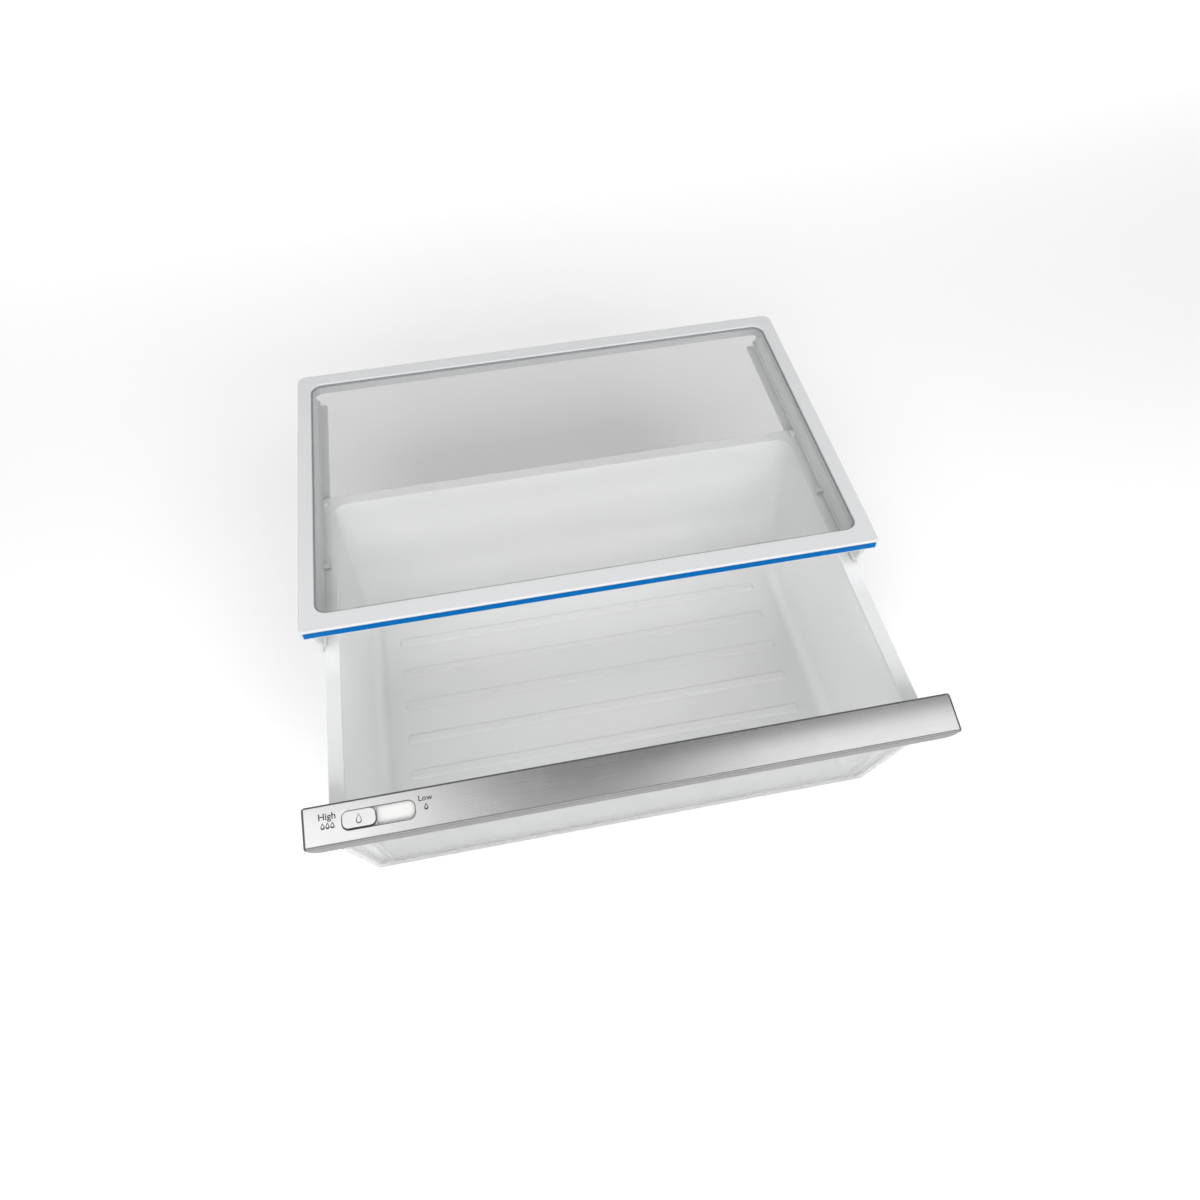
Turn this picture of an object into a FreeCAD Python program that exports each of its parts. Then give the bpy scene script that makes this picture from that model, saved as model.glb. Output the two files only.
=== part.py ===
import FreeCAD, Part
import Sketcher
import math
import os
import re
from FreeCAD import Placement, Rotation, Vector

# Crisper drawer under a framed glass shelf, shown part-way open.
# Frame: X across the drawer, Y towards the back, Z up, origin at the middle of the pan's base.

SIZES = {
    # shelf
    "shelf_width": 450,
    "shelf_depth": 300,
    "shelf_height": 13,
    "side_border": 12,
    "rear_border": 14,
    "front_border": 16.5,
    "rear_corner": 8,
    "front_corner": 4,
    "opening_corner": 10,
    "shelf_edge_round": 1.5,
    "lip_edge_round": 0.8,
    "glass_thickness": 4,
    "glass_overlap": 6,
    "glass_cover": 2.2,
    "seal_width": 1.2,
    "seal_height": 0.8,
    "strip_height": 5.4,
    "strip_drop": 1.4,
    "strip_depth": 1.2,
    "strip_proud": 0.4,
    "strip_inset": 3,
    "front_face": 8,
    "front_rebate": 6,
    "seat_width": 4.4,
    "seat_height": 0.6,
    "seat_edge": 1,
    "seat_end_gap": 12,
    # rails
    "rail_web": 2.2,
    "rail_inset": 4,
    "rail_shoulder": 2,
    "rail_tongue": 4.5,
    "tongue_fit": 0.1,
    "rail_gap": 0.6,
    "rail_end_gap": 6.5,
    "ledge_reach": 7,
    "ledge_thickness": 3,
    "guide_reach": 2,
    "guide_thickness": 2,
    "slide_clearance": 0.3,
    "lift_clearance": 0.5,
    "stop_setback": 82,
    "stop_length": 4,
    "stop_reach": 7,
    "stop_height": 3,
    # pan
    "base_length": 260,
    "base_width": 404,
    "pan_height": 156,
    "wall": 2.6,
    "side_flare": 1.5,
    "rear_flare": 4,
    "front_tilt": 15,
    "pan_round": 14,
    "rim_overhang": 8,
    "rim_thickness": 3,
    "rim_corner": 11,
    "rim_lap": 1.3,
    "rib_count": 6,
    "rib_pitch": 36,
    "rib_length": 350,
    "rib_width": 10,
    "rib_height": 1.8,
    "rib_corner": 4.5,
    "rib_slope": 50,
    "rib_rear_gap": 38,
    "lug_width": 4,
    "lug_length": 6,
    "lug_height": 3,
    "lug_setback": 4,
    "panel_rise": 14.7,
    "panel_foot_width": 412,
    "panel_end_gap": 2.5,
    "panel_return": 9,
    # handle
    "shelf_rise": 10.2,
    "drawer_open": 138,
    "handle_length": 452,
    "handle_depth": 28,
    "panel_setback": 15,
    "lip_height": 14,
    "skin_thickness": 0.8,
    "bend_round": 1.8,
    "edge_line": 1.2,
    "deck_thickness": 4,
    "lip_rib": 1.2,
    "lip_rib_gap": 1,
    "bend_relief": 1.3,
    "clip_rib": 2,
    "clip_depth": 9,
    "clip_rear_depth": 3,
    "clip_fit": 0.15,
    "lip_end_round": 9,
    "cap_thickness": 1.6,
    "cap_edge_bevel": 0.8,
    # screws
    "screw_count": 4,
    "screw_pitch": 120,
    "screw_drop": 6,
    "screw_shank": 3,
    "screw_reach": 4.5,
    "screw_head": 5.4,
    "screw_head_height": 2,
    "hole_clearance": 0.4,
    "pilot_clearance": 0.1,
    # slider
    "slot_inset": 26,
    "slot_length": 48,
    "slot_width": 12.6,
    "slot_setback": 13.4,
    "slot_corner": 4.5,
    "recess_margin": 3,
    "recess_depth": 2.6,
    "track_thickness": 1,
    "track_fit": 0.1,
    "knob_length": 22.4,
    "knob_rise": 2.6,
    "knob_fit": 0.3,
    "knob_foot_play": 0.15,
    "knob_edge_round": 0.9,
    "vent_count": 3,
    "vent_pitch": 6.5,
    "vent_length": 4.5,
    "vent_width": 1.8,
    "vent_setback": 1.5,
}

# How near, in millimetres, an edge or face has to lie to a plane to be picked from it.
NEAR = 0.01

# Places worked out from the sizes, as text for the bindings below.
TILT = "(front_tilt * 1 deg)"
MOUTH_HALF = "(base_width / 2 + side_flare)"
MOUTH_FRONT = f"(-base_length / 2 - pan_height * tan{TILT})"
MOUTH_REAR = "(base_length / 2 + rear_flare)"
RIM_HALF = f"({MOUTH_HALF} + rim_overhang)"
RIM_REAR = f"({MOUTH_REAR} + rim_overhang)"
PANEL_HEIGHT = f"((pan_height + panel_rise) / cos{TILT})"
HANDLE_Y = f"(-base_length / 2 - {PANEL_HEIGHT} * sin{TILT} + panel_setback * cos{TILT})"
HANDLE_Z = f"({PANEL_HEIGHT} * cos{TILT} + panel_setback * sin{TILT})"
SHELF_TOP = f"({HANDLE_Z} + shelf_rise)"
SHELF_UNDER = f"({SHELF_TOP} - shelf_height)"
SHELF_FRONT = f"({HANDLE_Y} + drawer_open)"
SHELF_REAR = f"({SHELF_FRONT} + shelf_depth)"
GLASS_TOP = f"({SHELF_TOP} - glass_cover)"
OPENING_HALF = "(shelf_width / 2 - side_border)"
OPENING_FRONT = f"({SHELF_FRONT} + front_border)"
OPENING_REAR = f"({SHELF_REAR} - rear_border)"
RAIL_INNER = f"({RIM_HALF} + rail_gap)"
RAIL_TOP_INNER = f"({OPENING_HALF} + rail_inset)"
RAIL_FRONT = f"({SHELF_FRONT} + rail_end_gap)"
RAIL_REAR = f"({SHELF_REAR} - rail_end_gap)"
LEDGE_TOP = "(pan_height - rim_thickness - slide_clearance)"
GUIDE_UNDER = "(pan_height + lift_clearance)"
DECK_UNDER = "(-skin_thickness - deck_thickness)"
PANEL_HEAD_HALF = "(handle_length / 2 - panel_end_gap)"
SLOT_LEFT = "(-handle_length / 2 + slot_inset)"
SLOT_FRONT = "(-slot_setback - slot_width / 2)"
SLOT_BACK = "(-slot_setback + slot_width / 2)"
RECESS_FLOOR = "(-skin_thickness - recess_depth)"

doc = FreeCAD.newDocument("crisper_drawer")
sheet = doc.addObject("Spreadsheet::Sheet", "dims")
for row, (size_name, size) in enumerate(SIZES.items(), start=1):
    sheet.set(f"A{row}", size_name)
    sheet.set(f"B{row}", str(size))
    sheet.setAlias(f"B{row}", size_name)
doc.recompute()


def ref(text):
    """Point every size named in the text at its cell."""
    return re.sub(r"[a-z_]+", lambda word: "dims." + word[0] if word[0] in SIZES else word[0], text)


def value(text):
    return float(sheet.evalExpression(ref(text)))


def new_body(label, in_handle=False):
    """A body in the drawer's frame, or in the tilted frame at the handle's upper back edge."""
    body = doc.addObject("PartDesign::Body", label)
    body.Label = label
    if in_handle:
        body.Placement = Placement(Vector(0, 0, 0), Rotation(Vector(1, 0, 0), SIZES["front_tilt"]))
        body.setExpression("Placement.Rotation.Angle", ref(TILT))
        body.setExpression("Placement.Base.y", ref(HANDLE_Y))
        body.setExpression("Placement.Base.z", ref(HANDLE_Z))
    return body


def origin_item(body, role):
    return next(item for item in body.Origin.OriginFeatures if item.Role == role)


def new_sketch(body, name, plane="XY_Plane", level="0", tilt=None):
    sketch = body.newObject("Sketcher::SketchObject", f"{body.Label}_{name}")
    sketch.AttachmentSupport = [(origin_item(body, plane), "")]
    sketch.MapMode = "FlatFace"
    if tilt:
        sketch.AttachmentOffset = Placement(Vector(0, 0, 0), Rotation(Vector(1, 0, 0), SIZES["front_tilt"]))
        sketch.setExpression("AttachmentOffset.Rotation.Angle", ref(tilt))
    sketch.setExpression("AttachmentOffset.Base.z", ref(level))
    return sketch


def bind(sketch, constraint_kind, places, text):
    index = sketch.addConstraint(Sketcher.Constraint(constraint_kind, *places, value(text)))
    sketch.setExpression(f"Constraints[{index}]", ref(text))


def polygon(sketch, points):
    """Closed outline whose corners are bound to the sizes."""
    first = sketch.GeometryCount
    corners = [Vector(value(across), value(along), 0) for across, along in points]
    for here, there in zip(corners, corners[1:] + corners[:1]):
        sketch.addGeometry(Part.LineSegment(here, there))
    for step, (across, along) in enumerate(points):
        line = first + step
        following = first + (step + 1) % len(points)
        sketch.addConstraint(Sketcher.Constraint("Coincident", line, 2, following, 1))
        bind(sketch, "DistanceX", (-1, 1, line, 1), across)
        bind(sketch, "DistanceY", (-1, 1, line, 1), along)


def rectangle(sketch, left, right, low, high):
    polygon(sketch, [(left, low), (right, low), (right, high), (left, high)])


def rounded_rectangle(sketch, left, right, low, high, low_round, high_round=None):
    """Rectangle with arcs at its corners, one radius for the low pair and one for the high pair."""
    high_round = high_round or low_round
    first = sketch.GeometryCount
    x0, x1, y0, y1 = value(left), value(right), value(low), value(high)
    a, b = value(low_round), value(high_round)
    arcs = [(x1 - a, y0 + a, a, -90), (x1 - b, y1 - b, b, 0),
            (x0 + b, y1 - b, b, 90), (x0 + a, y0 + a, a, 180)]
    runs = [((x0 + a, y0), (x1 - a, y0)), ((x1, y0 + a), (x1, y1 - b)),
            ((x1 - b, y1), (x0 + b, y1)), ((x0, y1 - b), (x0, y0 + a))]
    for (start, end), (cx, cy, radius, turn) in zip(runs, arcs):
        sketch.addGeometry(Part.LineSegment(Vector(*start, 0), Vector(*end, 0)))
        circle = Part.Circle(Vector(cx, cy, 0), Vector(0, 0, 1), radius)
        sketch.addGeometry(Part.ArcOfCircle(circle, math.radians(turn), math.radians(turn + 90)))
    for side, level in enumerate([low, right, high, left]):
        line = first + 2 * side
        flat = side % 2 == 0
        sketch.addConstraint(Sketcher.Constraint("Tangent", line, 2, line + 1, 1))
        sketch.addConstraint(Sketcher.Constraint("Tangent", line + 1, 2, first + (2 * side + 2) % 8, 1))
        sketch.addConstraint(Sketcher.Constraint("Horizontal" if flat else "Vertical", line))
        bind(sketch, "DistanceY" if flat else "DistanceX", (-1, 1, line, 1), level)
        bind(sketch, "Radius", (line + 1,), low_round if side in (0, 3) else high_round)


def circle(sketch, across, along, diameter):
    round_edge = Part.Circle(Vector(value(across), value(along), 0), Vector(0, 0, 1), value(diameter) / 2)
    index = sketch.addGeometry(round_edge)
    bind(sketch, "DistanceX", (-1, 1, index, 3), across)
    bind(sketch, "DistanceY", (-1, 1, index, 3), along)
    bind(sketch, "Diameter", (index,), diameter)


def extrude(body, kind, sketch, length, backwards=False, both_ways=False):
    feature = body.newObject(f"PartDesign::{kind}", f"{sketch.Name}_{kind.lower()}")
    feature.Profile = sketch
    feature.SideType = "Symmetric" if both_ways else "One side"
    feature.setExpression("Length", ref(length))
    feature.Reversed = backwards
    doc.recompute()
    return feature


def pad(body, sketch, length, **ways):
    return extrude(body, "Pad", sketch, length, **ways)


def pocket(body, sketch, depth, **ways):
    return extrude(body, "Pocket", sketch, depth, **ways)


def dress_edges(body, kind, name, wanted, measure, size):
    """Treat the edges of the body's last feature that pass the test."""
    doc.recompute()
    base = body.Tip
    picked = [f"Edge{index}" for index, edge in enumerate(base.Shape.Edges, start=1) if wanted(edge)]
    feature = body.newObject(f"PartDesign::{kind}", f"{body.Label}_{name}")
    feature.Base = (base, picked)
    feature.setExpression(measure, ref(size))
    doc.recompute()


def round_edges(body, name, wanted, radius):
    dress_edges(body, "Fillet", name, wanted, "Radius", radius)


def bevel_edges(body, name, wanted, size):
    dress_edges(body, "Chamfer", name, wanted, "Size", size)


def lies_at(edge, axis, level):
    """True where the whole edge lies in the plane at that level of the axis."""
    box = edge.BoundBox
    low, high = (getattr(box, f"{axis}{end}") for end in ("Min", "Max"))
    return abs(low - level) < NEAR and abs(high - level) < NEAR


def make_shelf_frame():
    body = new_body("shelf_frame")
    outline = new_sketch(body, "outline", level=SHELF_UNDER)
    rounded_rectangle(outline, "-shelf_width / 2", "shelf_width / 2", SHELF_FRONT, SHELF_REAR,
                      "front_corner", "rear_corner")
    pad(body, outline, "shelf_height")
    opening = new_sketch(body, "opening", level=SHELF_TOP)
    rounded_rectangle(opening, f"-{OPENING_HALF}", OPENING_HALF, OPENING_FRONT, OPENING_REAR,
                      "opening_corner")
    pocket(body, opening, "shelf_height")
    round_edges(body, "outer_round", lambda edge: is_shelf_rim(edge, outer=True), "shelf_edge_round")
    round_edges(body, "inner_round", lambda edge: is_shelf_rim(edge, outer=False), "lip_edge_round")
    groove = new_sketch(body, "glass_groove", level=GLASS_TOP)
    glass_outline(groove)
    pocket(body, groove, "glass_thickness")
    rebate = new_sketch(body, "front_rebate", level=f"{SHELF_TOP} - front_face")
    rectangle(rebate, "-shelf_width / 2", "shelf_width / 2", SHELF_FRONT, f"{SHELF_FRONT} + front_rebate")
    pocket(body, rebate, "shelf_height - front_face")
    strip_groove = new_sketch(body, "strip_groove", level=f"{SHELF_TOP} - strip_drop")
    strip_outline(strip_groove, proud="0")
    pocket(body, strip_groove, "strip_height")
    rail_grooves = new_sketch(body, "rail_grooves", level=f"{SHELF_UNDER} + rail_tongue + tongue_fit")
    near = f"{RAIL_TOP_INNER} - tongue_fit"
    far = f"{RAIL_TOP_INNER} + rail_web + tongue_fit"
    for left, right in ((near, far), (f"-({far})", f"-({near})")):
        rectangle(rail_grooves, left, right, f"{RAIL_FRONT} - tongue_fit", f"{RAIL_REAR} + tongue_fit")
    pocket(body, rail_grooves, "rail_tongue + tongue_fit")
    seats = new_sketch(body, "seats", level=SHELF_UNDER)
    seat_outer = "(shelf_width / 2 - seat_edge)"
    seat_inner = f"({seat_outer} - seat_width)"
    for left, right in ((seat_inner, seat_outer), (f"-{seat_outer}", f"-{seat_inner}")):
        rectangle(seats, left, right, f"{SHELF_FRONT} + seat_end_gap", f"{SHELF_REAR} - seat_end_gap")
    pad(body, seats, "seat_height", backwards=True)
    return body


def is_shelf_rim(edge, outer):
    """Edges round the top of the frame, on its outside or round the opening."""
    if not lies_at(edge, "Z", value(SHELF_TOP)):
        return False
    middle = edge.BoundBox.Center
    inside = (abs(middle.x) < value(OPENING_HALF) + NEAR
              and value(OPENING_FRONT) - NEAR < middle.y < value(OPENING_REAR) + NEAR)
    return inside != outer


def glass_outline(sketch):
    rounded_rectangle(sketch, f"-{OPENING_HALF} - glass_overlap", f"{OPENING_HALF} + glass_overlap",
                      f"{OPENING_FRONT} - glass_overlap", f"{OPENING_REAR} + glass_overlap", "opening_corner")


def strip_outline(sketch, proud):
    half = "(shelf_width / 2 - strip_inset)"
    rectangle(sketch, f"-{half}", half, f"{SHELF_FRONT} - {proud}", f"{SHELF_FRONT} + strip_depth")


def make_shelf_glass():
    body = new_body("shelf_glass")
    pane = new_sketch(body, "pane", level=f"{GLASS_TOP} - glass_thickness")
    glass_outline(pane)
    pad(body, pane, "glass_thickness")
    return body


def make_glass_seal():
    body = new_body("glass_seal")
    bead = new_sketch(body, "bead", level=GLASS_TOP)
    rounded_rectangle(bead, f"-{OPENING_HALF}", OPENING_HALF, OPENING_FRONT, OPENING_REAR, "opening_corner")
    rounded_rectangle(bead, f"-{OPENING_HALF} + seal_width", f"{OPENING_HALF} - seal_width",
                      f"{OPENING_FRONT} + seal_width", f"{OPENING_REAR} - seal_width",
                      "opening_corner - seal_width")
    pad(body, bead, "seal_height")
    return body


def make_accent_strip():
    body = new_body("accent_strip")
    strip = new_sketch(body, "strip", level=f"{SHELF_TOP} - strip_drop - strip_height")
    strip_outline(strip, proud="strip_proud")
    pad(body, strip, "strip_height")
    return body


def make_rail(label, side):
    """Runner with a ledge under the pan's rim, a guide over it and a tongue in the frame."""
    body = new_body(label)
    outer_foot = f"({RAIL_INNER} + rail_web)"
    outer_head = f"({RAIL_TOP_INNER} + rail_web)"
    shoulder = f"({RAIL_TOP_INNER} - rail_shoulder)"
    ledge_edge = f"({RAIL_INNER} - ledge_reach)"
    guide_edge = f"({RAIL_INNER} - guide_reach)"
    section = [
        (ledge_edge, f"{LEDGE_TOP} - ledge_thickness"),
        (outer_foot, f"{LEDGE_TOP} - ledge_thickness"),
        (outer_foot, f"{GUIDE_UNDER} + guide_thickness"),
        (outer_head, SHELF_UNDER),
        (outer_head, f"{SHELF_UNDER} + rail_tongue"),
        (RAIL_TOP_INNER, f"{SHELF_UNDER} + rail_tongue"),
        (RAIL_TOP_INNER, SHELF_UNDER),
        (shoulder, SHELF_UNDER),
        (shoulder, f"{SHELF_UNDER} - rail_shoulder"),
        (RAIL_INNER, f"{GUIDE_UNDER} + guide_thickness"),
        (guide_edge, f"{GUIDE_UNDER} + guide_thickness"),
        (guide_edge, GUIDE_UNDER),
        (RAIL_INNER, GUIDE_UNDER),
        (RAIL_INNER, LEDGE_TOP),
        (ledge_edge, LEDGE_TOP),
    ]
    profile = new_sketch(body, "section", plane="XZ_Plane", level=f"-{RAIL_FRONT}")
    polygon(profile, [(f"{side} * {across}", up) for across, up in section])
    pad(body, profile, f"{RAIL_REAR} - {RAIL_FRONT}", backwards=True)
    stop = new_sketch(body, "stop", level=GUIDE_UNDER)
    near, far = (f"{side} * ({RAIL_INNER} - {reach})" for reach in ("stop_reach", "guide_reach / 2"))
    left, right = (near, far) if side > 0 else (far, near)
    stop_front = f"{SHELF_FRONT} + stop_setback"
    rectangle(stop, left, right, stop_front, f"{stop_front} + stop_length")
    pad(body, stop, "stop_height")
    return body


def make_drawer_pan():
    """Clear moulding: drafted tub, rim, floor ribs, stop lugs and the wide sloped front panel."""
    body = new_body("drawer_pan")
    add_tub_block(body, "0")
    cavity = new_body("pan_cavity")
    add_tub_block(cavity, "wall")
    hollow = body.newObject("PartDesign::Boolean", "drawer_pan_hollow")
    hollow.Type = "Cut"
    hollow.addObject(cavity)
    doc.recompute()
    add_rim(body)
    add_front_panel(body)
    add_floor_ribs(body)
    return body


def add_tub_block(body, inset):
    """Tapered block with rounded edges: the tub's outside, or its inside drawn in by the wall."""
    front_step = f"{inset} / cos{TILT}"
    front_foot = f"-base_length / 2 - {inset} * tan{TILT} + {front_step}"
    rear_foot = f"base_length / 2 + rear_flare * {inset} / pan_height - {inset}"
    side_view = new_sketch(body, "side_view", plane="YZ_Plane")
    polygon(side_view, [(front_foot, inset), (rear_foot, inset), (f"{MOUTH_REAR} - {inset}", "pan_height"),
                        (f"{MOUTH_FRONT} + {front_step}", "pan_height")])
    block = pad(body, side_view, f"base_width - 2 * {inset}", both_ways=True)
    half = value(f"base_width / 2 - {inset}")
    sides = [f"Face{index}" for index, face in enumerate(block.Shape.Faces, start=1)
             if abs(abs(face.BoundBox.Center.x) - half) < NEAR]
    draft = body.newObject("PartDesign::Draft", f"{body.Label}_draft")
    draft.Base = (block, sides)
    draft.NeutralPlane = (origin_item(body, "XY_Plane"), [""])
    draft.setExpression("Angle", ref("atan(side_flare / pan_height)"))
    draft.Reversed = True
    doc.recompute()
    height = value("pan_height")
    round_edges(body, "rounds", lambda edge: not lies_at(edge, "Z", height), f"pan_round - {inset}")


def add_rim(body):
    rim = new_sketch(body, "rim", level="pan_height - rim_thickness")
    rounded_rectangle(rim, f"-{RIM_HALF}", RIM_HALF, f"{MOUTH_FRONT} + rim_lap", RIM_REAR,
                      "rim_lap", "rim_corner")
    rounded_rectangle(rim, f"-{MOUTH_HALF} + rim_lap", f"{MOUTH_HALF} - rim_lap", f"{MOUTH_FRONT} + wall",
                      f"{MOUTH_REAR} - rim_lap", "pan_round - rim_lap")
    pad(body, rim, "rim_thickness")
    lugs = new_sketch(body, "lugs", level="pan_height")
    near = f"({MOUTH_HALF} + rim_overhang / 2 - lug_width / 2)"
    far = f"({near} + lug_width)"
    for left, right in ((near, far), (f"-{far}", f"-{near}")):
        rectangle(lugs, left, right, f"{RIM_REAR} - lug_setback - lug_length", f"{RIM_REAR} - lug_setback")
    pad(body, lugs, "lug_height")


def add_front_panel(body):
    """Panel wider than the tub, its slanted sides turned back, with holes for the handle's screws."""
    head = f"({PANEL_HEIGHT} + {DECK_UNDER})"
    outline = new_sketch(body, "panel", plane="XZ_Plane", level="base_length / 2", tilt=TILT)
    polygon(outline, [("-panel_foot_width / 2", "0"), ("panel_foot_width / 2", "0"),
                      (PANEL_HEAD_HALF, head), (f"-{PANEL_HEAD_HALF}", head)])
    pad(body, outline, "wall", backwards=True)
    returns = new_sketch(body, "panel_returns", plane="XZ_Plane", level="base_length / 2", tilt=TILT)
    below_clip = "(clip_rear_depth + clip_fit)"
    return_half = f"({PANEL_HEAD_HALF} - ({PANEL_HEAD_HALF} - panel_foot_width / 2) * {below_clip} / {head})"
    for side in (1, -1):
        polygon(returns, [(f"{side} * (panel_foot_width / 2 - wall)", "0"),
                          (f"{side} * panel_foot_width / 2", "0"),
                          (f"{side} * {return_half}", f"{head} - {below_clip}"),
                          (f"{side} * ({return_half} - wall)", f"{head} - {below_clip}")])
    pad(body, returns, "panel_return", backwards=True)
    holes = new_sketch(body, "screw_holes", plane="XZ_Plane", level="base_length / 2", tilt=TILT)
    for place in screw_places():
        circle(holes, place, f"{head} - screw_drop", "screw_shank + hole_clearance")
    pocket(body, holes, "wall")


def add_floor_ribs(body):
    rear_rib = new_sketch(body, "rib", level="wall")
    middle = "base_length / 2 - rib_rear_gap"
    rounded_rectangle(rear_rib, "-rib_length / 2", "rib_length / 2", f"{middle} - rib_width / 2",
                      f"{middle} + rib_width / 2", "rib_corner")
    rib = pad(body, rear_rib, "rib_height")
    rib.setExpression("TaperAngle", ref("-rib_slope * 1 deg"))
    row = body.newObject("PartDesign::LinearPattern", "drawer_pan_ribs")
    row.Originals = [rib]
    row.Direction = (origin_item(body, "Y_Axis"), [""])
    row.Reversed = True
    row.setExpression("Length", ref("(rib_count - 1) * rib_pitch"))
    row.setExpression("Occurrences", ref("rib_count"))
    body.Tip = row
    doc.recompute()


def in_a_row(count, pitch):
    """Places of evenly spaced features either side of a middle."""
    return [f"{step - (SIZES[count] - 1) / 2} * {pitch}" for step in range(SIZES[count])]


def screw_places():
    return in_a_row("screw_count", "screw_pitch")


def make_handle_carrier():
    """Moulded channel: deck under the skin, rib behind the lip and a clip on the panel's top edge."""
    body = new_body("handle_carrier", in_handle=True)
    under = DECK_UNDER
    lip_back = "(-handle_depth + skin_thickness)"
    clip_front = "(-panel_setback - clip_fit)"
    clip_back = "(-panel_setback + wall + clip_fit)"
    section = [
        ("0", "0"),
        ("-edge_line", "0"),
        ("-edge_line", "-skin_thickness"),
        (f"{lip_back} + bend_relief", "-skin_thickness"),
        (lip_back, "-skin_thickness - bend_relief"),
        (lip_back, "-lip_height + lip_rib_gap"),
        (f"{lip_back} + lip_rib", "-lip_height + lip_rib_gap"),
        (f"{lip_back} + lip_rib", under),
        (f"{clip_front} - clip_rib", under),
        (f"{clip_front} - clip_rib", f"{under} - clip_depth"),
        (clip_front, f"{under} - clip_depth"),
        (clip_front, under),
        (clip_back, under),
        (clip_back, f"{under} - clip_rear_depth"),
        (f"{clip_back} + clip_rib", f"{under} - clip_rear_depth"),
        (f"{clip_back} + clip_rib", under),
        ("0", under),
    ]
    profile = new_sketch(body, "section", plane="YZ_Plane")
    polygon(profile, section)
    pad(body, profile, "handle_length - 2 * cap_thickness", both_ways=True)
    recess = new_sketch(body, "slider_recess", level="-skin_thickness")
    recess_outline(recess, "0")
    pocket(body, recess, "recess_depth")
    vents = new_sketch(body, "vents", level=RECESS_FLOOR)
    vent_outlines(vents)
    pocket(body, vents, "deck_thickness - recess_depth")
    pilots = new_sketch(body, "screw_pilots", plane="XZ_Plane", level="panel_setback + clip_fit + clip_rib")
    for place in screw_places():
        circle(pilots, place, f"{under} - screw_drop", "screw_shank + pilot_clearance")
    pocket(body, pilots, "clip_rib")
    rib_ends = new_sketch(body, "lip_rib_ends", plane="XZ_Plane", level="handle_depth - skin_thickness")
    end = "(handle_length / 2 - cap_thickness)"
    for left, right in ((f"{end} - lip_end_round", end), (f"-{end}", f"-{end} + lip_end_round")):
        rectangle(rib_ends, left, right, "-lip_height", under)
    pocket(body, rib_ends, "lip_rib")
    return body


def recess_outline(sketch, fit):
    """Outline of the slider's recess, drawn in by a fit."""
    rectangle(sketch, f"{SLOT_LEFT} - recess_margin + {fit}",
              f"{SLOT_LEFT} + slot_length + recess_margin - {fit}",
              f"{SLOT_FRONT} - recess_margin + {fit}", f"{SLOT_BACK} + recess_margin - {fit}")


def vent_outlines(sketch):
    middle = f"({SLOT_LEFT} + knob_fit + knob_length / 2)"
    across = f"({SLOT_BACK} + vent_setback)"
    for step in in_a_row("vent_count", "vent_pitch"):
        place = f"({middle} + {step})"
        rectangle(sketch, f"{place} - vent_length / 2", f"{place} + vent_length / 2",
                  f"{across} - vent_width / 2", f"{across} + vent_width / 2")


def make_handle_skin():
    """Sheet folded once along the front, with the slider's slot cut through its face."""
    body = new_body("handle_skin", in_handle=True)
    profile = new_sketch(body, "section", plane="YZ_Plane")
    inner = "(-handle_depth + skin_thickness)"
    polygon(profile, [("-edge_line", "0"), ("-handle_depth", "0"), ("-handle_depth", "-lip_height"),
                      (inner, "-lip_height"), (inner, "-skin_thickness"), ("-edge_line", "-skin_thickness")])
    pad(body, profile, "handle_length - 2 * cap_thickness", both_ways=True)
    depth = value("handle_depth")
    thickness = value("skin_thickness")
    bends = (("outside", 0, "bend_round"), ("inside", thickness, "bend_round - skin_thickness"))
    for name, inset, radius in bends:
        round_edges(body, f"bend_{name}",
                    lambda edge: lies_at(edge, "Y", inset - depth) and lies_at(edge, "Z", -inset), radius)
    end = value("handle_length / 2 - cap_thickness")
    lip = value("lip_height")
    corners = ("X", end), ("X", -end)
    round_edges(body, "lip_ends",
                lambda edge: lies_at(edge, "Z", -lip) and any(lies_at(edge, *corner) for corner in corners),
                "lip_end_round")
    slot = new_sketch(body, "slot", level="0")
    rounded_rectangle(slot, SLOT_LEFT, f"{SLOT_LEFT} + slot_length", SLOT_FRONT, SLOT_BACK, "slot_corner")
    pocket(body, slot, "skin_thickness")
    return body


def make_end_cap(label, side):
    body = new_body(label, in_handle=True)
    inner_face = f"{side} * (handle_length / 2 - cap_thickness)"
    profile = new_sketch(body, "outline", plane="YZ_Plane", level=inner_face)
    rounded_rectangle(profile, "-handle_depth", "0", "lip_end_round - lip_height", "0", "bend_round")
    pad(body, profile, "cap_thickness", backwards=side < 0)
    end = side * value("handle_length") / 2
    bevel_edges(body, "edges", lambda edge: lies_at(edge, "X", end), "cap_edge_bevel")
    return body


def make_handle_screws():
    body = new_body("handle_screws", in_handle=True)
    along = f"{DECK_UNDER} - screw_drop"
    parts = (("shanks", "panel_setback + screw_reach - wall", "screw_shank", "screw_reach"),
             ("heads", "panel_setback - wall", "screw_head", "screw_head_height"))
    for name, level, diameter, length in parts:
        sketch = new_sketch(body, name, plane="XZ_Plane", level=level)
        for place in screw_places():
            circle(sketch, place, along, diameter)
        pad(body, sketch, length, backwards=True)
    return body


def make_slider_track():
    body = new_body("slider_track", in_handle=True)
    plate = new_sketch(body, "plate", level=RECESS_FLOOR)
    recess_outline(plate, "track_fit")
    vent_outlines(plate)
    pad(body, plate, "track_thickness")
    return body


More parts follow.
